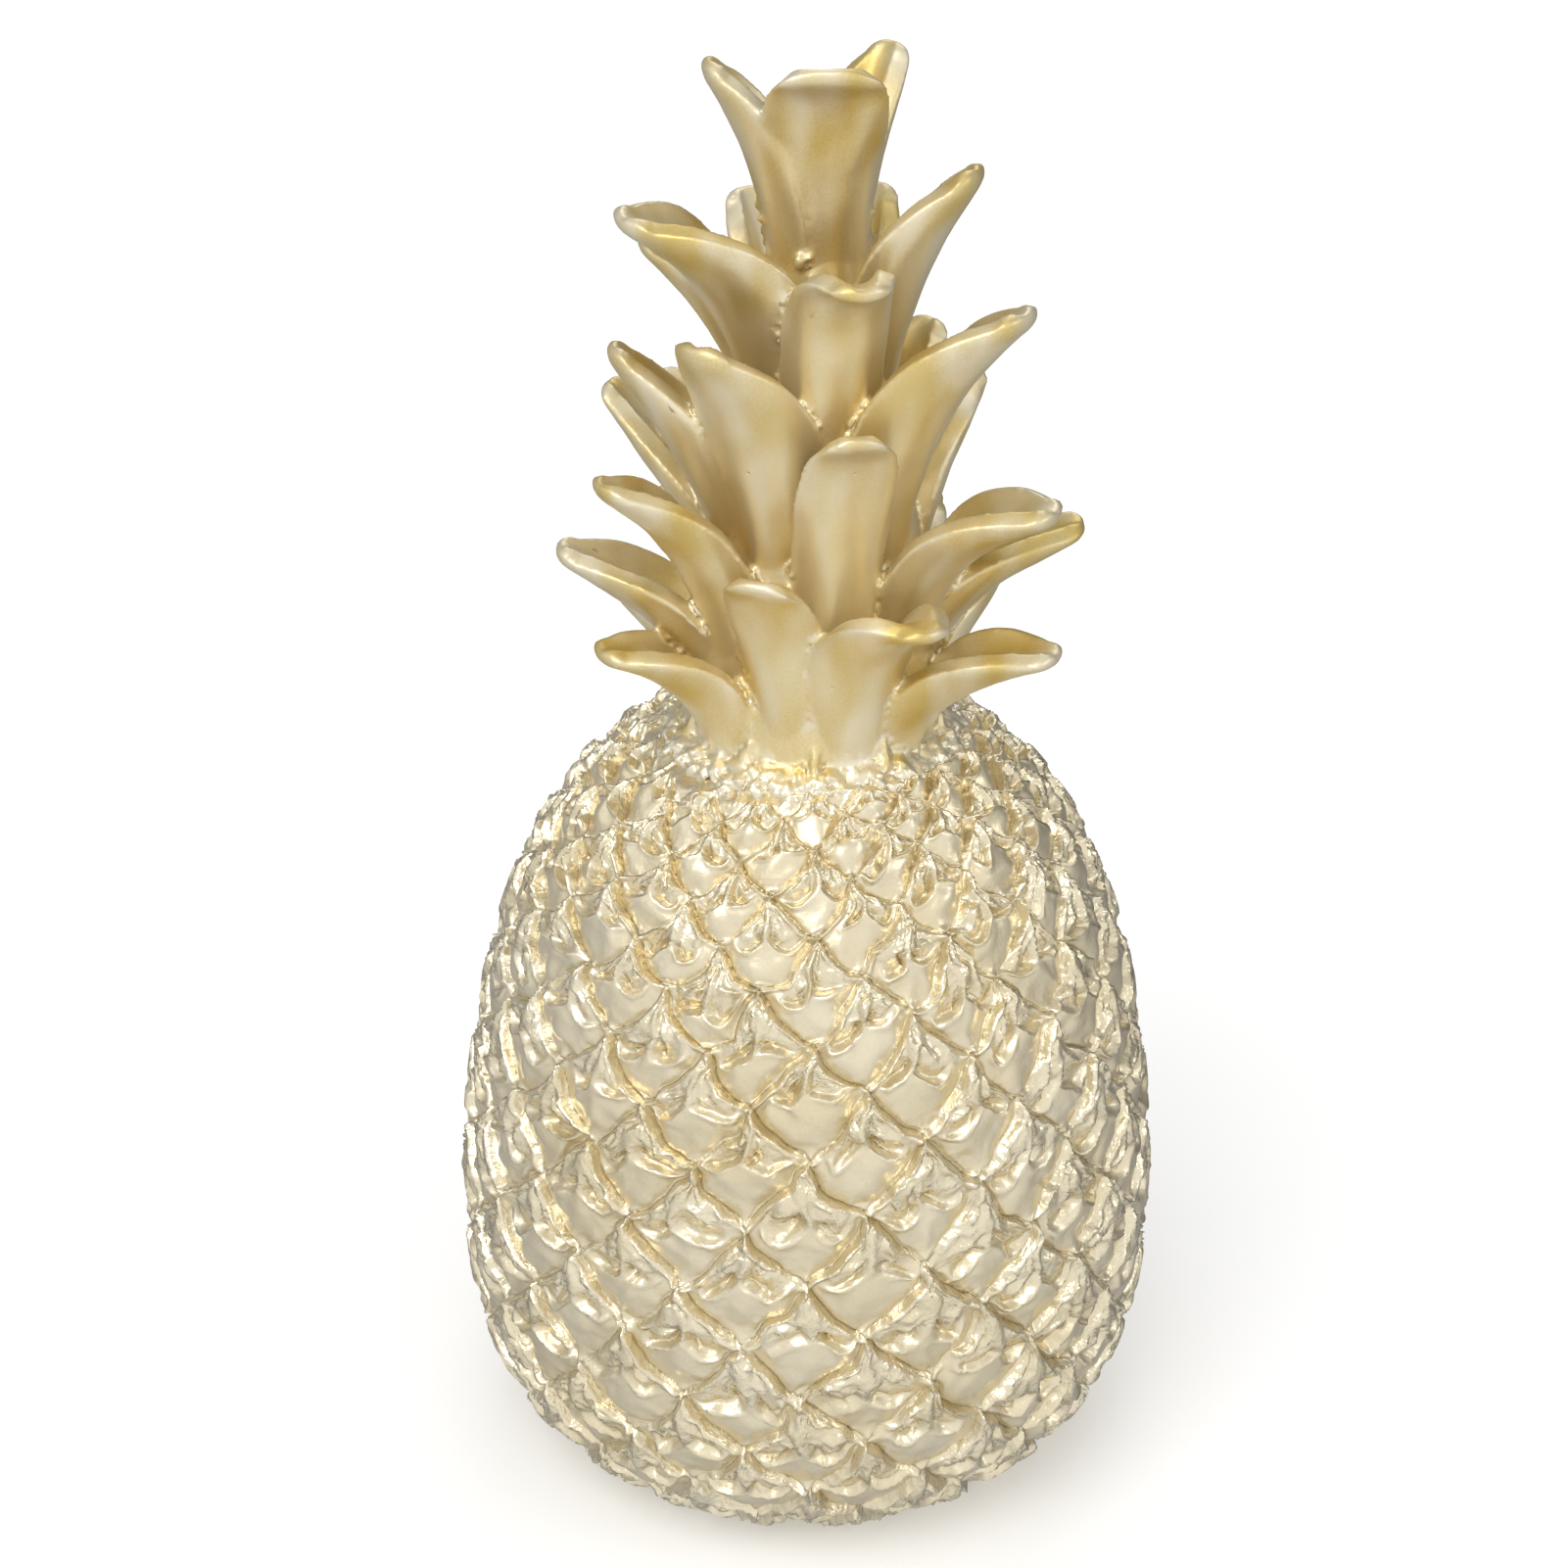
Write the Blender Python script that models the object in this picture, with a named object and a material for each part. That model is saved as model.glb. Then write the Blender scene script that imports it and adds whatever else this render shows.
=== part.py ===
"""Decorative pineapple: one casting, a scaled fruit with a crown of curling leaves.

Metres, +Z up. The origin is the middle of the flat underside, and -Y is the side seen first.
"""
import math
from collections import namedtuple

import bmesh
import bpy
import numpy as np

MM = 0.001
UP = np.array((0.0, 0.0, 1.0))

# Fruit outline over the scales, from the underside to the neck: height and radius, mm
FRUIT_OUTLINE = ((0, 41.5), (6, 52), (16, 62), (28, 67.4), (44, 69.8), (62, 70), (82, 68),
                 (102, 64.6), (122, 58.8), (140, 49.2), (152, 37.5), (158, 29.5))
SCALES_AROUND = 18
GROOVE_DEPTH = 2.2          # the grooves lie this far inside the outline, mm
FACETS_PER_SCALE = 3        # facets along each side of a scale

# Heights of some rows of scale corners, counted down from the neck: row and height, mm
ROW_HEIGHTS = ((-8, 158), (-4, 139), (0, 99.5), (4, 48.8), (7, 14.5), (9, 0))
NECK_ROW, FOOT_ROW = -8, 9
# The rows were laid by hand: they wander up and down, tilt, and drift sideways at the ends
ROW_WANDER = 4.2            # mm
ROW_TILT = 3.7              # mm
ROW_DRIFT = 0.033           # radians
STEADY = 8                  # power of the fade that keeps neck and foot level

# Relief over the grooves, mm: the chin low on a scale, its flanks, and the hollow above
CHIN, FLANK, HOLLOW = 3.5, 2.8, 1.5

# Stem inside the crown: height and radius, mm
STEM = ((150, 26), (168, 24), (192, 21), (220, 16), (262, 7))
STEM_SIDES = 8

# Leaves, from the collar up. Each tier has the height of its leaves' feet in mm, and for each
# leaf the turn of its foot and of its tip in degrees (0 towards -Y, 90 towards +X), the radius
# and height of the tip in mm, the tip's lean from upright in degrees and the half width in mm.
Leaf = namedtuple("Leaf", "foot_turn tip_turn tip_radius tip_height lean half_width")
TIERS = (
    ("collar", 152, (Leaf(-43, -61, 45, 182, 72, 10), Leaf(-14, -16, 37, 203, 58, 9),
                     Leaf(17, 28, 44, 195, 78, 11), Leaf(50, 65, 50, 182, 74, 11),
                     Leaf(102, 118, 40, 182, 70, 12), Leaf(146, 150, 42, 190, 68, 12),
                     Leaf(-172, -172, 42, 187, 68, 12), Leaf(-130, -134, 42, 192, 68, 12),
                     Leaf(-92, -108, 38, 179, 68, 11))),
    ("lower", 168, (Leaf(-78, -83, 49, 196, 58, 11), Leaf(-54, -57, 47, 219, 54, 11),
                    Leaf(12, 13, 35, 231, 50, 11), Leaf(60, 62, 50, 212, 68, 12),
                    Leaf(88, 91, 51, 199, 66, 11), Leaf(132, 134, 42, 219, 56, 12),
                    Leaf(177, 177, 42, 224, 54, 12), Leaf(-132, -134, 42, 217, 56, 12))),
    ("middle", 192, (Leaf(-106, -112, 44, 221, 44, 10), Leaf(-72, -76, 40, 241, 34, 11),
                     Leaf(-26, -37, 38, 250, 34, 12.5), Leaf(4, 14, 33, 256, 76, 10),
                     Leaf(45, 58, 45, 254, 46, 13), Leaf(124, 136, 32, 231, 42, 11),
                     Leaf(164, 166, 34, 243, 42, 11), Leaf(-155, -155, 36, 240, 44, 11))),
    ("upper", 220, (Leaf(-42, -62, 40, 267, 60, 14), Leaf(-84, -88, 33, 256, 46, 9),
                    Leaf(-142, -144, 25, 257, 40, 9), Leaf(148, 152, 24, 258, 40, 9),
                    Leaf(60, 65, 32, 276, 34, 11))),
    ("top", 246, (Leaf(-60, -66, 23, 292, 34, 10), Leaf(5, 6, 18, 293, 50, 11.5),
                  Leaf(140, 138, 21, 290, 34, 9))),
)
FOOT_LEAN = 3               # a leaf's foot leans this far from upright, degrees
FOOT_SINK = 2.0             # and is sunk this far into the stem, mm
LEAF_STATIONS = (0.0, 0.3, 0.55, 0.76, 0.91, 1.0)
OUTER_TURNS = (-1.0, -0.42, 0.42, 1.0)      # places across the outer side, as shares of the wrap
INNER_TURNS = (0.8, 0.0, -0.8)
LEAF_WRAP = math.radians(75)                # the leaf curls up this far either way
WIDEST = 0.6                                # the leaf starts to narrow this far along
NARROWING, FLATTENING = 2.2, 1.8            # powers of the taper in width and in depth
TIP_HALF_WIDTH, TIP_TROUGH = 1.3, 1.6       # mm
FOOT_TROUGH, MID_TROUGH = 0.4, 0.72         # channel depth over the leaf's half width
FOOT_THICKNESS, TIP_THICKNESS = 3.9, 1.7                # mm
RIM_ROUNDING = 0.45         # share of the thickness by which the inner edge stands back

GOLD = (0.74, 0.62, 0.38, 1.0)


def clear_scene():
    for item in list(bpy.data.objects):
        bpy.data.objects.remove(item, do_unlink=True)


def gold_paint():
    material = bpy.data.materials.new("champagne gold paint")
    material.use_nodes = True
    shader = material.node_tree.nodes["Principled BSDF"]
    shader.inputs["Base Color"].default_value = GOLD
    shader.inputs["Metallic"].default_value = 0.85
    shader.inputs["Roughness"].default_value = 0.32
    material.diffuse_color = GOLD
    return material


def smooth_curve(points):
    """A natural cubic spline through points whose first value increases."""
    x, y = np.array(points, float).T
    step = np.diff(x)
    slope = np.diff(y) / step
    system = np.eye(len(x))
    change = np.zeros(len(x))
    for k in range(1, len(x) - 1):
        system[k, k - 1:k + 2] = (step[k - 1], 2 * (step[k - 1] + step[k]), step[k])
        change[k] = 6 * (slope[k] - slope[k - 1])
    bend = np.linalg.solve(system, change)

    def value(at):
        k = int(np.clip(np.searchsorted(x, at) - 1, 0, len(step) - 1))
        a = (x[k + 1] - at) / step[k]
        b = 1 - a
        bulge = ((a ** 3 - a) * bend[k] + (b ** 3 - b) * bend[k + 1]) * step[k] ** 2 / 6
        return a * y[k] + b * y[k + 1] + bulge

    return value


outline_radius = smooth_curve(FRUIT_OUTLINE)
row_height = smooth_curve(ROW_HEIGHTS)
stem_radius = smooth_curve(STEM)
NECK_HEIGHT = FRUIT_OUTLINE[-1][0]
MIDDLE = NECK_HEIGHT / 2


def mesh_object(name, mesh):
    bmesh.ops.recalc_face_normals(mesh, faces=mesh.faces)
    data = bpy.data.meshes.new(name)
    mesh.to_mesh(data)
    mesh.free()
    item = bpy.data.objects.new(name, data)
    bpy.context.scene.collection.objects.link(item)
    return item


def facing(turn):
    """The level direction at a turn around the axis, in radians from -Y towards +X."""
    return np.array((math.sin(turn), -math.cos(turn), 0.0))


def scale_relief(along, across):
    """Height over the groove, at whole facets from the left corner to the bottom and the top."""
    if along % FACETS_PER_SCALE == 0 or across % FACETS_PER_SCALE == 0:
        return 0.0
    low = (along % FACETS_PER_SCALE) - (across % FACETS_PER_SCALE)
    if low > 0:
        return CHIN
    return HOLLOW if low < 0 else FLANK


def fruit_point(level, place):
    """A point of the fruit: level counts facets down from row 0, place counts them around."""
    turn = place * math.pi / (SCALES_AROUND * FACETS_PER_SCALE)
    row = level / FACETS_PER_SCALE
    height = row_height(row)
    off_middle = height / MIDDLE - 1
    sway = ROW_TILT * math.sin(turn) * off_middle + ROW_WANDER * math.sin(2 * turn)
    height = min(max(height + sway * (1 - off_middle ** STEADY), 0.0), NECK_HEIGHT)
    relief = scale_relief((level + place) // 2, (place - level) // 2)
    if row in (NECK_ROW, FOOT_ROW):
        relief = 0.0
    radius = outline_radius(height) - GROOVE_DEPTH + relief
    return (facing(turn + ROW_DRIFT * off_middle ** 2) * radius + UP * height) * MM


def build_fruit():
    """Rings of points, each staggered against the next, so that every scale is a diamond."""
    mesh = bmesh.new()
    count = SCALES_AROUND * FACETS_PER_SCALE
    levels = range(FOOT_ROW * FACETS_PER_SCALE, NECK_ROW * FACETS_PER_SCALE - 1, -1)
    rings = []
    for level in levels:
        rings.append([mesh.verts.new(fruit_point(level, 2 * k + level % 2)) for k in range(count)])
    for level, low, high in zip(levels, rings, rings[1:]):
        for k in range(count):
            after = (k + 1) % count
            if level % 2:
                mesh.faces.new((low[k], high[after], high[k]))
                mesh.faces.new((low[k], low[after], high[after]))
            else:
                mesh.faces.new((low[k], low[after], high[k]))
                mesh.faces.new((low[after], high[after], high[k]))
    mesh.faces.new(list(reversed(rings[0])))
    mesh.faces.new(rings[-1])
    return mesh_object("pineapple", mesh)


def loft(name, outlines):
    """A closed solid through outlines of equal count, each a list of points in mm."""
    mesh = bmesh.new()
    rings = [[mesh.verts.new(point * MM) for point in outline] for outline in outlines]
    for low, high in zip(rings, rings[1:]):
        for k in range(len(low)):
            after = (k + 1) % len(low)
            mesh.faces.new((low[k], low[after], high[after], high[k]))
    mesh.faces.new(list(reversed(rings[0])))
    mesh.faces.new(rings[-1])
    bmesh.ops.triangulate(mesh, faces=mesh.faces)
    return mesh_object(name, mesh)


def build_stem():
    turns = [2 * math.pi * (side + 0.5) / STEM_SIDES for side in range(STEM_SIDES)]
    return loft("crown stem", [[facing(turn) * radius + UP * height for turn in turns]
                               for height, radius in STEM])


def leaf_spine(foot_height, leaf):
    """A curve in the leaf's upright plane that starts steep and leans out to the tip."""
    foot = np.array((stem_radius(foot_height) - FOOT_SINK, foot_height))
    tip = np.array((leaf.tip_radius, leaf.tip_height))
    start, end = (np.array((math.sin(lean), math.cos(lean)))
                  for lean in (math.radians(FOOT_LEAN), math.radians(leaf.lean)))
    bend = foot + start * np.linalg.solve(np.column_stack((start, end)), tip - foot)[0]

    def point(s):
        return (1 - s) ** 2 * foot + 2 * s * (1 - s) * bend + s ** 2 * tip

    def heading(s):
        way = (1 - s) * (bend - foot) + s * (tip - bend)
        return way / np.linalg.norm(way)

    return point, heading


def leaf_section(s, half_width):
    """Outline of the channelled leaf across its spine, outer side first: width and depth, mm."""
    past = max(0.0, (s - WIDEST) / (1 - WIDEST))
    width = TIP_HALF_WIDTH + (half_width - TIP_HALF_WIDTH) * (1 - past ** NARROWING)
    deepest = MID_TROUGH * half_width
    trough = TIP_TROUGH + (deepest - TIP_TROUGH) * (1 - past ** FLATTENING)
    if s < WIDEST:
        shallow = FOOT_TROUGH * half_width
        trough = shallow + (deepest - shallow) * s / WIDEST
    thick = FOOT_THICKNESS + (TIP_THICKNESS - FOOT_THICKNESS) * s
    inner_width = max(width - thick, width / 3)
    inner_trough = trough - RIM_ROUNDING * thick

    def across(turn, reach, depth, start):
        angle = turn * LEAF_WRAP
        rise = (1 - math.cos(angle)) / (1 - math.cos(LEAF_WRAP))
        return reach * math.sin(angle) / math.sin(LEAF_WRAP), start + depth * rise

    outer = [across(turn, width, trough, 0.0) for turn in OUTER_TURNS]
    return outer + [across(turn, inner_width, inner_trough, thick) for turn in INNER_TURNS]


def build_leaf(name, foot_height, leaf):
    point, heading = leaf_spine(foot_height, leaf)
    outlines = []
    for s in LEAF_STATIONS:
        out = facing(math.radians(leaf.foot_turn + (leaf.tip_turn - leaf.foot_turn) * s))
        side = np.cross(UP, out)
        radius, height = point(s)
        run, rise = heading(s)
        inward = UP * run - out * rise
        middle = out * radius + UP * height
        outlines.append([middle + side * width + inward * depth
                         for width, depth in leaf_section(s, leaf.half_width)])
    return loft(name, outlines)


def fuse_crown(fruit, crown):
    """Join the stem and leaves to the fruit as one casting."""
    group = bpy.data.collections.new("crown")
    bpy.context.scene.collection.children.link(group)
    for item in crown:
        item.hide_render = True
        item.display_type = "WIRE"
        bpy.context.scene.collection.objects.unlink(item)
        group.objects.link(item)
    fuse = fruit.modifiers.new("fuse crown", "BOOLEAN")
    fuse.operation = "UNION"
    fuse.solver = "EXACT"
    fuse.operand_type = "COLLECTION"
    fuse.collection = group


def main():
    clear_scene()
    pineapple = build_fruit()
    crown = [build_stem()]
    for tier, foot_height, leaves in TIERS:
        for number, leaf in enumerate(leaves, 1):
            crown.append(build_leaf(f"{tier} leaf {number}", foot_height, leaf))
    fuse_crown(pineapple, crown)
    pineapple.data.materials.append(gold_paint())
    pineapple.data.shade_smooth()


main()
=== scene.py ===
import math
from collections import namedtuple

import bmesh
import bpy
import numpy as np
from mathutils import Matrix, Vector


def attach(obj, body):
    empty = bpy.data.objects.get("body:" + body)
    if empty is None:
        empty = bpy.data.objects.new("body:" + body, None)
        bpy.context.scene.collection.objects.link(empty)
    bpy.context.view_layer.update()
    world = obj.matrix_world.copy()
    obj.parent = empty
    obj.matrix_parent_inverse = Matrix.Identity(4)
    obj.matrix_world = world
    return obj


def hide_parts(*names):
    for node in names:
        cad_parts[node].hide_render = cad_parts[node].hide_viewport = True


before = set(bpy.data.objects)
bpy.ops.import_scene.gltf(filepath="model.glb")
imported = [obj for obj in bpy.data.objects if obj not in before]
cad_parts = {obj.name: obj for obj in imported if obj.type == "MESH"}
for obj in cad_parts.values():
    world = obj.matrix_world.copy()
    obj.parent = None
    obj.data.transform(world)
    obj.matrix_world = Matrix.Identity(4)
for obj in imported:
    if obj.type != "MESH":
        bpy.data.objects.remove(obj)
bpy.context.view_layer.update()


# The fruit is the body of one resin casting. Its skin is a lattice of diamond scales that
# were pressed by hand into clay before the mould was made: 18 around, in staggered rows
# that wander, tilt and drift. It is painted with a glossy champagne gold.
MM = 0.001
FRUIT_OUTLINE = ((0, 41.5), (6, 52), (16, 62), (28, 67.4), (44, 69.8), (62, 70), (82, 68),
                 (102, 64.6), (122, 58.8), (140, 49.2), (152, 37.5), (158, 29.5))
NECK_HEIGHT, BELLY_RADIUS = 158, 66
SCALES_AROUND = 18
GROOVE_DEPTH = 3.5
NECK_ROW, FOOT_ROW = -8, 9
ROW_HEIGHTS = ((-8, 158), (-4, 139), (0, 99.5), (4, 48.8), (7, 14.5), (9, 0))
ROW_WANDER, ROW_TILT, ROW_DRIFT, STEADY = 4.2, 3.7, 0.033, 8
EDGE_SAG = 0.075
STEPS_PER_SCALE = 30
STEPS_AROUND = SCALES_AROUND * STEPS_PER_SCALE
STEPS_GATHER = 0.3
hand = np.random.default_rng(11)


def smooth_curve(points):
    """A natural cubic spline through points whose first value increases."""
    x, y = np.array(points, float).T
    step = np.diff(x)
    slope = np.diff(y) / step
    system = np.eye(len(x))
    change = np.zeros(len(x))
    for k in range(1, len(x) - 1):
        system[k, k - 1:k + 2] = (step[k - 1], 2 * (step[k - 1] + step[k]), step[k])
        change[k] = 6 * (slope[k] - slope[k - 1])
    bend = np.linalg.solve(system, change)

    def value(at):
        k = np.clip(np.searchsorted(x, at) - 1, 0, len(step) - 1)
        a = (x[k + 1] - at) / step[k]
        b = 1 - a
        bulge = ((a ** 3 - a) * bend[k] + (b ** 3 - b) * bend[k + 1]) * step[k] ** 2 / 6
        return a * y[k] + b * y[k + 1] + bulge

    return value


def rise(start, end, at):
    """0 before start, 1 after end, and a smooth step between."""
    x = np.clip((at - start) / (end - start), 0, 1)
    return x * x * (3 - 2 * x)


def fall(start, end, at):
    return 1 - rise(start, end, at)


def ridge(middle, width, at):
    return np.exp(-((at - middle) / width) ** 2)


def dome(at):
    """A quarter circle: 0 at 0, steep at first, and 1 from 1 on."""
    return np.sqrt(np.clip(1 - (1 - np.clip(at, 0, 1)) ** 2, 0, 1))


def swell(share):
    """0 at an edge of a scale, and rounded up to 1 at its middle and beyond."""
    return 1 - (1 - 2 * share.clip(0, 0.5)) ** 2


def nearer(a, b):
    """The smaller of two shares, rounded over where they are alike."""
    return (a.clip(0.001) ** -4 + b.clip(0.001) ** -4) ** -0.25


def dents(points, size, waves=14):
    """Soft random bumps of about one size in mm, from -1 to 1, as crossing waves."""
    way = hand.normal(size=(waves, 3))
    pace = 2 * math.pi / size * hand.uniform(0.6, 1.5, waves)
    way *= (pace / np.linalg.norm(way, axis=1))[:, None]
    turn = hand.uniform(0, 2 * math.pi, waves)
    return np.sin(points @ way.T + turn).sum(-1) / math.sqrt(waves * 2)


def creases_of(bumps, sharpness):
    """Thin ridges where the bumps pass through 0."""
    return (1 - np.abs(bumps)).clip(0) ** sharpness


def gather(steps):
    """The share of the way over a scale, with the steps closer together at its edges."""
    share = steps / STEPS_PER_SCALE
    return share - STEPS_GATHER * np.sin(2 * math.pi * share) / (2 * math.pi)


outline_radius = smooth_curve(FRUIT_OUTLINE)
row_height = smooth_curve(ROW_HEIGHTS)

# The points of the skin follow the two families of slanting grooves, whose edges sag
levels = np.arange(FOOT_ROW * STEPS_PER_SCALE, NECK_ROW * STEPS_PER_SCALE - 1, -1)[:, None]
places = 2 * np.arange(STEPS_AROUND)[None, :] + levels % 2
column, along = np.divmod((levels + places) // 2, STEPS_PER_SCALE)
line, across = np.divmod((places - levels) // 2, STEPS_PER_SCALE)
along, across = gather(along), gather(across)
sag_along = EDGE_SAG * np.sin(math.pi * across) * (1 + np.cos(2 * math.pi * along)) / 2
sag_across = -EDGE_SAG * np.sin(math.pi * along) * (1 + np.cos(2 * math.pi * across)) / 2
slant_down = column + along + sag_along
slant_up = line + across + sag_across
row = slant_down - slant_up
turn = (slant_down + slant_up) * math.pi / SCALES_AROUND
height = row_height(row)
off_middle = height / (NECK_HEIGHT / 2) - 1
free = 1 - off_middle ** STEADY
sway = ROW_TILT * np.sin(turn) * off_middle + ROW_WANDER * np.sin(2 * turn)
height = np.clip(height + sway * free, 0, NECK_HEIGHT)
turn = turn + ROW_DRIFT * off_middle ** 2
radius = outline_radius(height) - GROOVE_DEPTH
slope = (outline_radius(np.clip(height + 0.5, 0, NECK_HEIGHT))
         - outline_radius(np.clip(height - 0.5, 0, NECK_HEIGHT)))
facing_up = -slope / np.sqrt(1 + slope ** 2)
facing_out = np.sqrt(1 - facing_up ** 2)
up = np.array((0, 0, 1))
outward = np.stack((np.sin(turn), -np.cos(turn), np.zeros_like(turn)), -1)
groove = outward * radius[..., None] + up * height[..., None]

# Each scale gets its own numbers, so that no two are pressed alike
TASTES = 16
tastes = hand.uniform(-1, 1, (FOOT_ROW - NECK_ROW + 6, 2 * SCALES_AROUND, TASTES))


def taste(n):
    return tastes[column - line - NECK_ROW + 2, (column + line) % (2 * SCALES_AROUND), n]


soft, crisp, fine = dents(groove, 11), dents(groove, 4), dents(groove, 1.9)
down = along - across + 0.05 * soft
side = along + across - 1 + 0.04 * crisp
low_edge = nearer(1 - along, across)
high_edge = nearer(along, 1 - across)
lean = side + 0.10 * taste(0) + 0.18 * taste(1) * (down + 0.1)
wing = np.abs(lean)
right = lean > 0

# A plump cushion with a steep lower edge, and on it a lip that sags in two lobes
PLATE_HEIGHT, STEP_SHARE, STEP_WIDTH, SLOPE_SHARE, SLOPE_WIDTH = 4.0, 0.36, 0.035, 0.6, 0.3
lobe_drop = 0.22 + 0.12 * np.where(right, taste(2), taste(3))
lobe_end = 0.8 + 0.1 * np.where(right, taste(8), taste(9))
lobes = lobe_drop * np.sin(math.pi * np.clip(wing / lobe_end, 0, 1))
lip = -0.03 + 0.12 * taste(4) + lobes + 0.02 * crisp
above = lip - down
plate = PLATE_HEIGHT + 0.2 * taste(5) - 0.7 * rise(0.1, 0.95, above)
pillow = STEP_SHARE * dome(low_edge / STEP_WIDTH) + (1 - STEP_SHARE) * swell(1 - along) * swell(across)
cushion = plate * pillow * (1 - SLOPE_SHARE + SLOPE_SHARE * dome(high_edge / SLOPE_WIDTH))

# Above the lip two dishes lie beside a ridge like a nose, deepest in slits next to it
DISH_DEPTH, SLIT_DEPTH, ROLL_HEIGHT, NOSE_HEIGHT = 1.7, 1.3, 0.7, 1.2
dish_depth = DISH_DEPTH + 0.6 * np.where(right, taste(6), taste(7))
dishes = (dish_depth * rise(0.0, 0.09, above) * fall(0.05, 0.7, above)
          * rise(0.02, 0.15, wing) * fall(0.5 * lobe_end, lobe_end, wing))
slit_depth = (SLIT_DEPTH + 1.0 * np.where(right, taste(10), taste(11))).clip(0)
slits = slit_depth * ridge(0.15 + 0.25 * above, 0.05, wing) * ridge(0.16, 0.12, above)
roll = ((ROLL_HEIGHT + 0.3 * soft) * ridge(-0.01, 0.04, above)
        * rise(0.06, 0.2, wing) * fall(0.8 * lobe_end, 1.1 * lobe_end, wing))
nose = ((NOSE_HEIGHT + 0.5 * taste(12)) * ridge(0, 0.05 + 0.12 * rise(0.1, 0.8, above), lean)
        * rise(-0.1, 0.12, above) * fall(0.5, 0.9, above))

# Folds fan out from the lower corner, and veins and small dents lie over everything
FOLD_HEIGHT, FAN_CORNER, FAN_FOLDS = 1.35, 1.12, 7.5
spread = (np.arctan2(side, down + FAN_CORNER) * (FAN_FOLDS + 1.5 * taste(13))
          + 3 * taste(14) + crisp)
folds = FOLD_HEIGHT * (1 - np.abs(np.sin(spread))) ** 1.8 * rise(0.12, 0.4, above)
veins = 0.45 * creases_of(dents(groove, 7), 6) + 0.3 * creases_of(dents(groove, 3.6), 4)
inside = dome(np.minimum(low_edge, high_edge) / 0.14)
forms = roll + nose + folds + veins * rise(0.0, 0.25, above) - dishes - slits
forms += 0.3 * soft + 0.34 * dents(groove, 5.5) + 0.14 * crisp + 0.025 * fine
relief = cushion + forms * inside + 0.28 * fine * (1 - inside)

# The upper edges carry a thin raised thread, and crumbs of clay fill the corners
THREAD_HEIGHT, CRUMB_HEIGHT, CRUMB_REACH = 1.15, 1.3, 0.15
thread = (THREAD_HEIGHT * ridge(0.05, 0.032, high_edge)
          * (0.7 + 0.4 * crisp + 0.6 * dents(groove, 16)))
corner = np.minimum((1 - np.abs(side)) ** 2 + down ** 2, side ** 2 + (1 - np.abs(down)) ** 2)
crumbs = np.exp(-corner / CRUMB_REACH ** 2) * (CRUMB_HEIGHT + 0.6 * crisp + 0.35 * fine)
relief += thread * fall(0.75, 0.95, np.abs(down)) + crumbs

# Round the neck the scales give way to larger lumps with strings of clay between them
LUMP_HEIGHT, STRING_HEIGHT = 2.6, 1.2
mess = rise(-NECK_ROW - 1.1, -NECK_ROW - 0.4, -row)
lumps = LUMP_HEIGHT + 1.0 * dents(groove, 9) + 0.4 * crisp + 0.12 * fine
lumps += STRING_HEIGHT * creases_of(dents(groove, 9), 8)
relief += (lumps - relief) * mess

# The relief is lower where the body is slimmer, and fades at the foot and under the crown
TALLEST, LEVELLING = 4.35, 0.3
relief *= ((radius / BELLY_RADIUS) ** 0.3 * fall(FOOT_ROW - 0.7, FOOT_ROW, row)
           * fall(-NECK_ROW - 0.35, -NECK_ROW, -row))
relief = TALLEST - LEVELLING * np.log1p(np.exp((TALLEST - relief) / LEVELLING))
gathered = np.maximum.reduce((rise(0.0, 0.2, above), 1 - inside, mess))

# The whole lattice is pushed about sideways, as clay is under the fingers
eastward = np.stack((np.cos(turn), np.sin(turn), np.zeros_like(turn)), -1)
northward = up * facing_out[..., None] - outward * facing_up[..., None]
free = free * fall(FOOT_ROW - 1, FOOT_ROW, row)
surface = groove + (outward * facing_out[..., None] + up * facing_up[..., None]) * relief[..., None]
for way in (eastward, northward):
    surface += way * (free * (1.1 * dents(groove, 15) + 0.45 * dents(groove, 6)))[..., None]
surface[..., 2] = np.clip(surface[..., 2], 0, None)


def skin_faces():
    """The triangles of the whole skin, and the row of the scale that each is in."""
    count = STEPS_AROUND
    ring, k = np.meshgrid(np.arange(len(levels) - 1), np.arange(count), indexing="ij")
    odd = levels[ring, 0] % 2
    after = (k + 1) % count
    low, low_after = ring * count + k, ring * count + after
    high, high_after = low + count, low_after + count
    first = np.stack((low, np.where(odd, high_after, low_after), high), -1)
    second = np.stack((np.where(odd, low, low_after), np.where(odd, low_after, high_after),
                       np.where(odd, high_after, high)), -1)
    faces = np.concatenate((first.reshape(-1, 3), second.reshape(-1, 3)))
    level_at = np.broadcast_to(levels, places.shape).reshape(-1)[faces]
    place_at = places.reshape(-1)[faces]
    over_the_start = (np.ptp(place_at, axis=1) > count)[:, None] & (place_at < count)
    place_at = np.where(over_the_start, place_at + 2 * count, place_at)
    level_at, place_at = level_at.mean(1), place_at.mean(1)
    return faces, (np.floor((level_at + place_at) / 2 / STEPS_PER_SCALE)
                   - np.floor((place_at - level_at) / 2 / STEPS_PER_SCALE))


skin, scale_row = skin_faces()
skin_points = surface.reshape(-1, 3) * MM
face_ways = np.cross(skin_points[skin[:, 1]] - skin_points[skin[:, 0]],
                     skin_points[skin[:, 2]] - skin_points[skin[:, 0]])
skin_ways = np.stack([sum(np.bincount(skin[:, k], face_ways[:, axis], len(skin_points))
                          for k in range(3)) for axis in range(3)], -1)
skin_ways /= np.linalg.norm(skin_ways, axis=1)[:, None]


def add_object(name, data):
    item = bpy.data.objects.new(name, data)
    bpy.context.scene.collection.objects.link(item)
    return item


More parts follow.
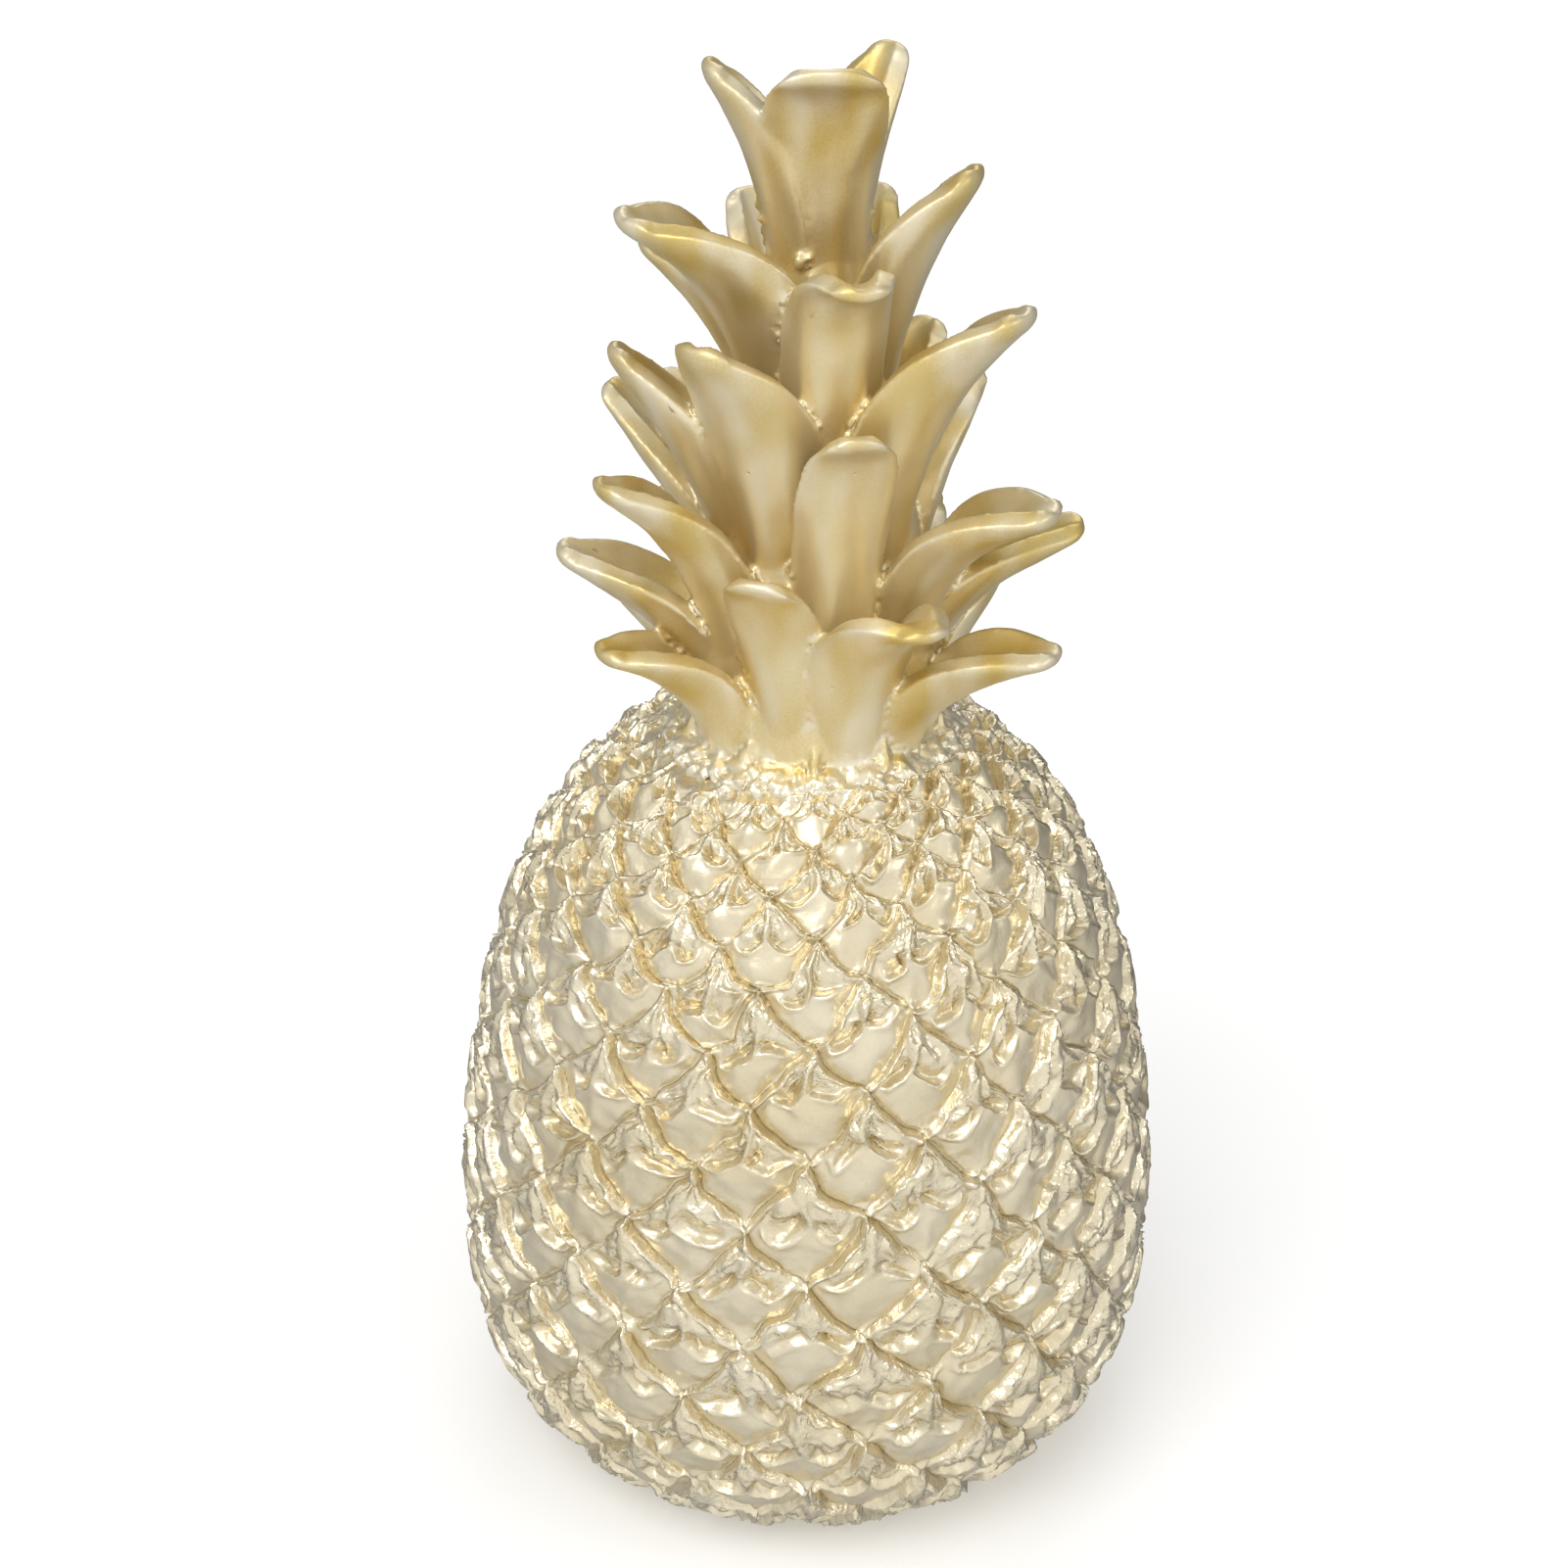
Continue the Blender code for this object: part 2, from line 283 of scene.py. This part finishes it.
def keep_values(mesh, values):
    """Stores values of the points on the mesh, for its paint."""
    for name, value in values.items():
        stored = mesh.attributes.new(name, "FLOAT", "POINT")
        stored.data.foreach_set("value", value.astype(np.float32))


def fruit_part(name, first_row, last_row, capped_ring):
    """The scales between two rows, as one mesh that ends in the grooves around them."""
    wanted = (scale_row >= first_row) & (scale_row <= last_row)
    kept, faces = np.unique(skin[wanted], return_inverse=True)
    faces = faces.reshape(-1, 3).tolist()
    points, ways = skin_points[kept], skin_ways[kept]
    values = {"relief": relief.reshape(-1)[kept], "gathered": gathered.reshape(-1)[kept]}
    if capped_ring is not None:
        count = STEPS_AROUND
        rim = np.searchsorted(kept, capped_ring * count + np.arange(count)).tolist()
        turned = 1 if capped_ring else -1
        faces += [(len(kept), rim[k], rim[(k + turned) % count])
                  for k in range(0, turned * count, turned)]
        points = np.append(points, [[0, 0, points[rim[0], 2]]], axis=0)
        ways = np.append(ways, [[0, 0, turned]], axis=0)
        values = {key: np.append(value, 0) for key, value in values.items()}
    mesh = bpy.data.meshes.new(name)
    mesh.from_pydata(points.tolist(), [], faces)
    keep_values(mesh, values)
    mesh.shade_smooth()
    mesh.normals_split_custom_set_from_vertices(ways.tolist())
    return add_object(name, mesh)


class Wire:
    """One output of a paint's nodes. Sums on it add Math nodes."""

    def __init__(self, tree, socket=None):
        self.tree, self.socket = tree, socket

    def node(self, kind, settings=None, inputs=None, output=0):
        made = self.tree.nodes.new(kind)
        for name, value in (settings or {}).items():
            setattr(made, name, value)
        for name, value in (inputs or {}).items():
            if isinstance(value, Wire):
                self.tree.links.new(value.socket, made.inputs[name])
            else:
                made.inputs[name].default_value = value
        return Wire(self.tree, made.outputs[output])

    def math(self, operation, a, b):
        return self.node("ShaderNodeMath", {"operation": operation}, {0: a, 1: b})

    def clear(self):
        return self.node("ShaderNodeMath", {"operation": "ADD", "use_clamp": True}, {0: self, 1: 0.0})

    def __add__(self, other):
        return self.math("ADD", self, other)

    __radd__ = __add__

    def __sub__(self, other):
        return self.math("SUBTRACT", self, other)

    def __rsub__(self, other):
        return self.math("SUBTRACT", other, self)

    def __mul__(self, other):
        return self.math("MULTIPLY", self, other)

    def __truediv__(self, other):
        return self.math("DIVIDE", self, other)

    def __pow__(self, other):
        return self.math("POWER", self, other)

    def blend(self, first, second):
        """A colour between two, by this value."""
        return self.node("ShaderNodeMix", {"data_type": "RGBA"}, {0: self, 6: first, 7: second}, 2)

    def stored(self, name):
        """A value kept on the points of the mesh."""
        return self.node("ShaderNodeAttribute", {"attribute_name": name}, output="Fac")

    def noise(self, size_mm, detail=2.0, stretch=(1, 1, 1)):
        """Noise with features of about this size, from 0 to 1."""
        spot = self.node("ShaderNodeTexCoord", output="Object")
        spot = self.node("ShaderNodeMapping", inputs={"Vector": spot, "Scale": stretch})
        return self.node("ShaderNodeTexNoise", inputs={
            "Vector": spot, "Scale": 1 / (size_mm * MM), "Detail": detail})


def set_inputs(shader, values):
    for name, value in values.items():
        shader.inputs[name].default_value = value


def gold_paint(name, roughness, coat, metal):
    """A metallic paint. Its shader and the start of its node sums are given back."""
    paint = bpy.data.materials.new(name)
    paint.use_nodes = True
    shader = paint.node_tree.nodes["Principled BSDF"]
    set_inputs(shader, {"Metallic": metal, "Roughness": roughness,
                        "Coat Weight": coat, "Coat Roughness": 0.12})
    return paint, shader, Wire(paint.node_tree)


def connect(wire, shader, name):
    wire.tree.links.new(wire.socket, shader.inputs[name])


# The paint is a darker gold in the grooves as painted shade, and shinier and crinkled where clay is
# gathered
GROOVE_SHADE_GOLD, PALE_GOLD, WARM_GOLD = (
    (0.745, 0.625, 0.39, 1), (0.79, 0.71, 0.53, 1), (0.73, 0.63, 0.415, 1))
fruit_paint, shader, start = gold_paint("glossy champagne gold", 0.27, 0.4, 0.92)
depth = start.stored("relief")
gathered_up = start.stored("gathered")
# Where the relief is low, in the grooves and other low places, the colour turns to the darker groove
# gold: painted shade
raised = (depth / 2.6 + (start.noise(3.0) - 0.5) * 0.4).clear()
patches = ((start.noise(26.0) - 0.35) * 2.2 + (start.noise(0.5, 1.0) - 0.5) * 1.2).clear()
connect(raised.blend(GROOVE_SHADE_GOLD, patches.blend(PALE_GOLD, WARM_GOLD)), shader, "Base Color")
connect(0.28 + start.noise(2.2, 3.0) * 0.12 - gathered_up * 0.1, shader, "Roughness")
creases = (1 - start.math("ABSOLUTE", start.noise(2.6) * 2 - 1, 0.0)) ** 3
in_groove = (1 - depth / 2.2).clear()
crinkle = start.noise(1.1, 3.0) * (0.4 + gathered_up * 0.2 + in_groove * 1.4)
crinkle = crinkle + creases * gathered_up * 0.5 + start.noise(4.5, 1.0) * 0.6
bump = start.node("ShaderNodeBump", inputs={
    "Strength": 0.6, "Distance": 0.4 * MM, "Height": crinkle})
connect(bump, shader, "Normal")

SHOULDER_ROW, FLANK_ROW = -3, 3
fruit_parts = (fruit_part("pineapple_fruit_foot", FLANK_ROW + 1, FOOT_ROW, 0),
               fruit_part("pineapple_fruit_belly", SHOULDER_ROW + 1, FLANK_ROW, None),
               fruit_part("pineapple_fruit_neck", NECK_ROW, SHOULDER_ROW, len(levels) - 1))
for piece in fruit_parts:
    piece.data.materials.append(fruit_paint)
    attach(piece, "root")
    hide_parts("pineapple")


# The crown is cast in one with the fruit. Its leaves were rolled from clay as deep channels
# with thick round rims, set in five tiers round a stem, and smeared together at their feet;
# their tips curl outward. Its gold paint is more satin, and runs in streaks down the leaves.
STEM = ((150, 26), (168, 24), (192, 21), (220, 16), (262, 7))
Leaf = namedtuple("Leaf", "foot_turn tip_turn tip_radius tip_height lean half_width cup tip",
                  defaults=(1.0, 4.2))
TIERS = (
    (152, (Leaf(-43, -61, 45, 182, 72, 10), Leaf(-14, -16, 36.5, 202, 60, 9, 0.3, 6),
           Leaf(17, 28, 44, 195, 84, 11, 0.7), Leaf(50, 65, 50, 182, 74, 11),
           Leaf(102, 118, 40, 182, 70, 12), Leaf(146, 150, 42, 190, 68, 12),
           Leaf(-172, -172, 42, 187, 68, 12), Leaf(-130, -134, 42, 192, 68, 12),
           Leaf(-92, -108, 38, 179, 68, 11))),
    (168, (Leaf(-78, -83, 49, 196, 58, 11), Leaf(-54, -57, 47, 217, 54, 11),
           Leaf(12, 13, 34, 229.5, 58, 9.5, 0.3, 5.5), Leaf(60, 62, 50, 212, 68, 12),
           Leaf(88, 91, 51, 199, 66, 11), Leaf(132, 134, 42, 219, 56, 12),
           Leaf(177, 177, 42, 224, 54, 12), Leaf(-132, -134, 42, 217, 56, 12))),
    (192, (Leaf(-106, -112, 44, 221, 44, 10), Leaf(-72, -76, 40, 238.5, 34, 11),
           Leaf(-26, -37, 38, 246, 34, 12.5), Leaf(4, 14, 33, 257, 95, 10, 1.0, 5),
           Leaf(45, 58, 45, 250.5, 46, 13, 1.0, 4.8), Leaf(124, 136, 32, 231, 42, 11),
           Leaf(164, 166, 34, 243, 42, 11), Leaf(-155, -155, 36, 240, 44, 11))),
    (220, (Leaf(-42, -62, 40, 265, 60, 14, 1.0, 4.8), Leaf(-84, -88, 33, 256, 46, 9),
           Leaf(-142, -144, 25, 257, 40, 9), Leaf(148, 152, 24, 258, 40, 9),
           Leaf(60, 65, 32, 273.5, 34, 11, 1.0, 4.6))),
    (246, (Leaf(-76, -80, 21.5, 289, 34, 9.5), Leaf(5, 6, 17.5, 291, 50, 11.5, 0.3, 9.5),
           Leaf(140, 138, 21, 287, 34, 8))),
)
FOOT_LEAN, FOOT_SINK, FOOT_STAGGER = 3, 2.0, 0.9
LEAF_WRAP = math.radians(75)
WIDEST, NARROWING, FLATTENING = 0.6, 2.5, 2.0
FOOT_TROUGH, MID_TROUGH, TIP_TROUGH = 0.6, 0.72, 1.3
FOOT_WIDTH, LEAF_END = 0.8, 0.955
FOOT_THICKNESS, TIP_THICKNESS = 4.2, 3.3
LEAF_STATIONS, OUTER_STEPS, INNER_STEPS, INNER_SHARE = 46, 24, 18, 0.92
TIP_ROUNDING = 3.6
stem_radius = smooth_curve(STEM)


def level_way(turn):
    return np.array((math.sin(turn), -math.cos(turn), 0.0))


def leaf_spine(foot_height, leaf, sink):
    """A curve in the leaf's upright plane that starts steep and leans out to the tip."""
    foot = np.array((stem_radius(foot_height) - sink, foot_height))
    tip = np.array((leaf.tip_radius, leaf.tip_height))
    start, end = (np.array((math.sin(lean), math.cos(lean)))
                  for lean in (math.radians(FOOT_LEAN), math.radians(leaf.lean)))
    bend = foot + start * np.linalg.solve(np.column_stack((start, end)), tip - foot)[0]

    def at(s):
        way = (1 - s) * (bend - foot) + s * (tip - bend)
        spot = (1 - s) ** 2 * foot + 2 * s * (1 - s) * bend + s ** 2 * tip
        return spot, way / np.linalg.norm(way)

    return at


def leaf_section(s, leaf):
    """Outline of the channelled leaf across its spine: width and depth, mm."""
    past = max(0.0, (s - WIDEST) / (1 - WIDEST))
    width = leaf.tip + (leaf.half_width - leaf.tip) * (1 - past ** NARROWING)
    deepest = MID_TROUGH * leaf.half_width
    trough = TIP_TROUGH + (deepest - TIP_TROUGH) * (1 - past ** FLATTENING)
    if s < WIDEST:
        shallow = FOOT_TROUGH * leaf.half_width
        trough = shallow + (deepest - shallow) * s / WIDEST
    trough *= 1 - (1 - leaf.cup) * rise(0.25, 0.75, s)
    width *= 1 - (1 - FOOT_WIDTH) * fall(0.1, 0.6, s)
    thick = FOOT_THICKNESS + (TIP_THICKNESS - FOOT_THICKNESS) * s ** 2
    inner_width = max(width - 0.9 * thick, 0.5 * width)
    inner_trough = max(trough - 0.35 * thick, 0.25)

    def across(turns, reach, depth, start):
        angle = turns * LEAF_WRAP
        lift = (1 - np.cos(angle)) / (1 - math.cos(LEAF_WRAP))
        return np.stack((reach * np.sin(angle) / math.sin(LEAF_WRAP), start + depth * lift), -1)

    outer = across(np.linspace(-1, 1, OUTER_STEPS), width, trough, 0.0)
    inner = across(np.linspace(INNER_SHARE, -INNER_SHARE, INNER_STEPS),
                   inner_width, inner_trough, thick)
    return np.concatenate((outer, inner))


def leaf_rings(foot_height, leaf, sink):
    """The sections of one leaf along its spine, closed by a rounded tip."""
    spine = leaf_spine(foot_height, leaf, sink)
    wobble = hand.uniform(-1, 1, 6)
    rings = []
    for s in np.linspace(0, LEAF_END, LEAF_STATIONS):
        out = level_way(math.radians(leaf.foot_turn + (leaf.tip_turn - leaf.foot_turn) * s))
        sideways = np.cross(up, out)
        (reach, z), (run, climb) = spine(s)
        inward = up * run - out * climb
        section = leaf_section(s, leaf)
        section[:, 0] *= 1 + 0.03 * math.sin(5 * s + 3 * wobble[0])
        section[:, 0] += 0.5 * wobble[1] * math.sin(4 * s + wobble[2])
        twist = 0.25 * math.sin(7 * s + 4 * wobble[3])
        section[:, 1] += twist * section[:, 0] / leaf.half_width
        rings.append(out * reach + up * z + sideways * section[:, :1] + inward * section[:, 1:])
    forward, last = out * run + up * climb, rings[-1]
    middle = last.mean(0)
    for angle in np.radians((25, 50, 72)):
        rings.append(middle + (last - middle) * math.cos(angle)
                     + forward * TIP_ROUNDING * math.sin(angle))
    return rings


clay_points, clay_faces = [], []


def add_clay(points, faces):
    start = sum(len(made) for made in clay_points)
    clay_points.append(points)
    clay_faces.extend([tuple(start + k for k in face) for face in faces])


def add_skin(rings):
    """A closed skin through rings of equal count, in mm."""
    count = len(rings[0])
    faces = [(low + k, low + (k + 1) % count, low + count + (k + 1) % count, low + count + k)
             for low in range(0, (len(rings) - 1) * count, count) for k in range(count)]
    last = (len(rings) - 1) * count
    faces += [tuple(range(count - 1, -1, -1)), tuple(range(last, last + count))]
    add_clay(np.concatenate(rings), faces)


STEM_SIDES, STEM_RINGS = 32, 24
stem_turns = [2 * math.pi * k / STEM_SIDES for k in range(STEM_SIDES)]


def add_turned(rings):
    """A round body about the axis, through rings of a radius and a height."""
    add_skin([np.array([level_way(turn) * reach + up * z for turn in stem_turns])
              for reach, z in rings])


work = bmesh.new()
bmesh.ops.create_icosphere(work, subdivisions=2, radius=1.0)
bead_points = np.array([point.co for point in work.verts])
bead_faces = [tuple(point.index for point in face.verts) for face in work.faces]
work.free()


def add_bead(centre, size):
    """A small lump of clay."""
    add_clay(bead_points * size + centre, bead_faces)


# The stem, then each leaf with clusters of small beads where its rims meet its neighbours
RIM_STATIONS, MOST_CLUSTERS, CLUSTER_BEADS = (5, 19), 3, 7
add_turned([(stem_radius(z), z) for z in np.linspace(STEM[0][0], STEM[-1][0], STEM_RINGS)])
for foot_height, leaves in TIERS:
    for k, leaf in enumerate(leaves):
        rings = leaf_rings(foot_height, leaf, FOOT_SINK + FOOT_STAGGER * (k % 2))
        add_skin(rings)
        for edge in (0, OUTER_STEPS - 1):
            clusters = hand.integers(1, MOST_CLUSTERS + 1)
            for station in hand.uniform(*RIM_STATIONS, clusters):
                for _ in range(CLUSTER_BEADS):
                    rim = rings[int(station + hand.uniform(-2.5, 2.5))][edge]
                    spot = rim + hand.normal(0, 0.6, 3)
                    add_bead(spot, hand.uniform(0.35, 0.95, 3) * (1, 1, 1.8))

# A collar of pressed clay hides the join to the fruit, with a rough edge and with lumps
# that rise in the boundaries between the lowest leaves
COLLAR = ((27.2, 154), (28.6, 156.8), (28.0, 158.4), (26.0, 159.8), (24.4, 161.5))
COLLAR_BEADS, COLLAR_EDGE_RADIUS, COLLAR_EDGE_HEIGHT = 320, 26.8, 158.9
BOUNDARY_BEADS, BOUNDARY_CLIMB = 12, 7
add_turned(COLLAR)
for k in range(COLLAR_BEADS):
    turn = 2 * math.pi * k / COLLAR_BEADS + hand.normal(0, 0.03)
    out = hand.uniform(-1, 1)
    spot = level_way(turn) * (COLLAR_EDGE_RADIUS + 1.9 * out) + up * (COLLAR_EDGE_HEIGHT - 1.5 * out)
    add_bead(spot, hand.uniform(0.8, 2.1, 3))
lowest = TIERS[0][1]
for before, after in zip(lowest, lowest[1:] + lowest[:1]):
    turn = math.radians(before.foot_turn + (after.foot_turn - before.foot_turn) % 360 / 2)
    for climb in np.linspace(0, 1, BOUNDARY_BEADS):
        out = level_way(turn + 0.05 * (1 - climb) * hand.normal())
        spot = out * (26.2 - 1.6 * climb) + up * (158.5 + BOUNDARY_CLIMB * climb)
        add_bead(spot, hand.uniform(0.8, 1.7, 3) * (1 - 0.55 * climb))

# All of it becomes one skin, rubbed smooth
VOXEL = 0.5
clay_mesh = bpy.data.meshes.new("crown in clay")
clay_mesh.from_pydata((np.concatenate(clay_points) * MM).tolist(), [], clay_faces)
crown_clay = add_object("crown in clay", clay_mesh)
melt = crown_clay.modifiers.new("one skin", "REMESH")
melt.mode = "VOXEL"
melt.voxel_size = VOXEL * MM
rub = crown_clay.modifiers.new("rubbed smooth", "SMOOTH")
rub.factor = 0.5
rub.iterations = 6


def worked_mesh(item):
    """The mesh of the object with its modifiers carried out."""
    bpy.context.view_layer.update()
    return bpy.data.meshes.new_from_object(
        item.evaluated_get(bpy.context.evaluated_depsgraph_get()))


def mesh_arrays(mesh):
    spots = np.empty(len(mesh.vertices) * 3, np.float32)
    mesh.vertices.foreach_get("co", spots)
    ends = np.empty(len(mesh.edges) * 2, np.int32)
    mesh.edges.foreach_get("vertices", ends)
    ways = np.empty(len(mesh.vertices) * 3, np.float32)
    mesh.vertex_normals.foreach_get("vector", ways)
    return spots.reshape(-1, 3).astype(float), ends.reshape(-1, 2), ways.reshape(-1, 3).astype(float)


def sinking(spots, ends, ways, passes):
    """How far each point lies below the skin around it, mm."""
    both, others = ends.reshape(-1), ends[:, ::-1].reshape(-1)
    links = np.bincount(both, minlength=len(spots))[:, None]
    levelled = spots
    for _ in range(passes):
        levelled = np.stack([np.bincount(both, levelled[others, axis], len(spots))
                             for axis in range(3)], -1) / links
    return ((levelled - spots) * ways).sum(1) / MM


# The joints between leaves lie sunk. They are rough where clay was smeared over them, and
# the deepest are open seams. The collar is rough all over.
COLLAR_FADE = (159.4, 162)
SEAM_DEPTH = 0.8
rubbed = worked_mesh(crown_clay)
bpy.data.objects.remove(crown_clay, do_unlink=True)
spots, ends, ways = mesh_arrays(rubbed)
sunk = sinking(spots, ends, ways, 12)
joint = rise(0.12, 0.3, sunk) * fall(0.42, 0.62, sunk)
seam = rise(0.42, 0.7, sunk)
collar = fall(*COLLAR_FADE, spots[:, 2] / MM - 2 * dents(spots / MM, 9))
rough = np.maximum(joint, collar)
seam *= 1 - collar
grain = 0.5 * dents(spots / MM, 4.0) + 0.55 * dents(spots / MM, 1.9)
unevenness = 0.12 * dents(spots / MM, 11) + 0.02 * dents(spots / MM, 3)
unevenness += rough * (0.3 + grain) - SEAM_DEPTH * seam
spots += ways * (MM * unevenness)[:, None]
rubbed.vertices.foreach_set("co", spots.astype(np.float32).reshape(-1))

CROWN_FACES = 190000
crown = add_object("pineapple_crown", rubbed)
thin = crown.modifiers.new("fewer faces", "DECIMATE")
thin.ratio = min(1.0, CROWN_FACES / (2 * len(rubbed.polygons)))
crown_skin = worked_mesh(crown)
crown.modifiers.clear()
crown.data = crown_skin
bpy.data.meshes.remove(rubbed)
crown_skin.validate()

# For the paint: the hollows, darkened as painted shade, the smeared joints, and the inner leaves near
# the stem, lightened as painted light
spots, ends, ways = mesh_arrays(crown_skin)
level, reach = spots[:, 2] / MM, np.hypot(spots[:, 0], spots[:, 1]) / MM
smeared = np.maximum(rise(0.15, 0.45, sinking(spots, ends, ways, 8)), fall(*COLLAR_FADE, level))
inner_painted_light = fall(22, 36, reach) * rise(168, 185, level) * fall(245, 262, level)
keep_values(crown_skin, {"hollow": sinking(spots, ends, ways, 40), "smeared": smeared,
                         "thin coat": inner_painted_light})
crown_skin.shade_smooth()

LEAF_GOLD, OLIVE_GOLD, SMEARED_GOLD, INNER_LIGHT_GOLD = (
    (0.82, 0.735, 0.53, 1), (0.67, 0.51, 0.18, 1), (0.80, 0.73, 0.56, 1), (0.93, 0.82, 0.55, 1))
BUBBLE_SPACING = 9
crown_paint, shader, start = gold_paint("satin champagne gold", 0.43, 0.08, 0.82)
smear = start.stored("smeared")
streaks = (start.noise(9.0, 1.0, (1, 1, 0.25)) - 0.5) * 3.4 + (start.noise(0.5, 1.0) - 0.5) * 0.6
# Besides the streaks, the hollow value turns the gold toward olive in hollows as painted shade, and
# makes it a little paler on convex rims
olive = (0.47 + start.stored("hollow") * 0.06 + streaks).clear()
colour = smear.blend(olive.blend(LEAF_GOLD, OLIVE_GOLD), SMEARED_GOLD)
# Painted light: the inner leaves near the stem are lightened toward a pale gold, against the shade
# deep in the crown
connect((start.stored("thin coat") * 0.45).blend(colour, INNER_LIGHT_GOLD), shader, "Base Color")
connect(0.34 + start.noise(5.0, 2.0, (1, 1, 0.4)) * 0.16 - smear * 0.14, shader, "Roughness")
bubbles = start.node("ShaderNodeTexVoronoi", inputs={
    "Vector": start.node("ShaderNodeTexCoord", output="Object"), "Scale": 1 / (BUBBLE_SPACING * MM)})
pits = ((bubbles - 0.03) / 0.02).clear()
brushed = start.noise(9.0, 1.0) * 0.3 + start.noise(0.8, 2.0) * (0.12 + smear * 0.6) + pits * 0.7
bump = start.node("ShaderNodeBump", inputs={
    "Strength": 0.4, "Distance": 0.4 * MM, "Height": brushed})
connect(bump, shader, "Normal")
crown.data.materials.clear()
crown.data.materials.append(crown_paint)
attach(crown, "root")
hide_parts("pineapple")


# The piece stands on a plain pale floor in soft studio light, seen from in front and above.
# A white tent around it is brightest in front and dimmer behind to the right, which shades
# the paint. To the camera itself the tent is plain white.
FLOOR_SIZE, FLOOR_WHITE, FLOOR_GLOW = 6.0, 0.96, 0.16
TENT_LIGHT, BRIGHTER_WAY = 0.69, (0.04, -0.37, 0.10)
DARK_WAY, DARK_FROM, DARKENING = (0.78, 0.58, 0.23), 0.3, 0.36
EYE = Vector((0.0, -0.6290, 0.4895))
EYE_PITCH, EYE_ROLL = math.radians(90 - 28.7), math.radians(0.75)
PICTURE_PIXELS, FOCAL_PIXELS, SHIFT_PIXELS = 1601, 3753, -28
SENSOR = 36.0

floor_mesh = bpy.data.meshes.new("floor")
half = FLOOR_SIZE / 2
floor_mesh.from_pydata([(-half, -half, 0), (half, -half, 0), (half, half, 0), (-half, half, 0)],
                       [], [(0, 1, 2, 3)])
floor = add_object("floor", floor_mesh)
floor_paint = bpy.data.materials.new("pale floor")
floor_paint.use_nodes = True
set_inputs(floor_paint.node_tree.nodes["Principled BSDF"], {
    "Base Color": (FLOOR_WHITE, FLOOR_WHITE, FLOOR_WHITE, 1), "Roughness": 0.9,
    "Emission Color": (1, 1, 1, 1), "Emission Strength": FLOOR_GLOW})
floor_mesh.materials.append(floor_paint)
floor.visible_glossy = False

world = bpy.data.worlds.new("white tent")
world.use_nodes = True
backdrop = world.node_tree.nodes["Background"]
backdrop.inputs["Color"].default_value = (1, 1, 1, 1)
sky = Wire(world.node_tree)
way = sky.node("ShaderNodeTexCoord", output="Generated")
brighter, darker = (sky.node("ShaderNodeVectorMath", {"operation": "DOT_PRODUCT"},
                             {0: way, 1: side_way}, "Value")
                    for side_way in (BRIGHTER_WAY, DARK_WAY))
tent = brighter + TENT_LIGHT - (darker - DARK_FROM).clear() * DARKENING
seen = sky.node("ShaderNodeLightPath", output="Is Camera Ray")
connect(tent + (1.0 - tent) * seen, backdrop, "Strength")
bpy.context.scene.world = world
bpy.context.scene.view_settings.view_transform = "Standard"

LIGHTS_AIM = Vector((0, 0, 0.15))
for name, spot, size, power in (
        ("softbox over the front", (-0.45, -0.85, 1.25), 0.9, 6.5),
        ("softbox to the right", (1.3, -0.5, 0.8), 0.5, 1.6),
        ("softbox to the left", (-1.3, -0.1, 0.7), 0.5, 0.5),
        ("softbox behind", (0.2, 1.1, 1.3), 1.0, 4)):
    light = bpy.data.lights.new(name, "AREA")
    light.size = size
    light.energy = power
    softbox = add_object(name, light)
    softbox.location = spot
    softbox.rotation_euler = (LIGHTS_AIM - Vector(spot)).to_track_quat("-Z", "Y").to_euler()

camera = bpy.data.cameras.new("camera")
camera.sensor_width = SENSOR
camera.lens = FOCAL_PIXELS / PICTURE_PIXELS * SENSOR
camera.shift_x = SHIFT_PIXELS / PICTURE_PIXELS
eye = add_object("camera", camera)
eye.matrix_world = (Matrix.Translation(EYE) @ Matrix.Rotation(EYE_PITCH, 4, "X")
                    @ Matrix.Rotation(EYE_ROLL, 4, "Z"))
bpy.context.scene.camera = eye
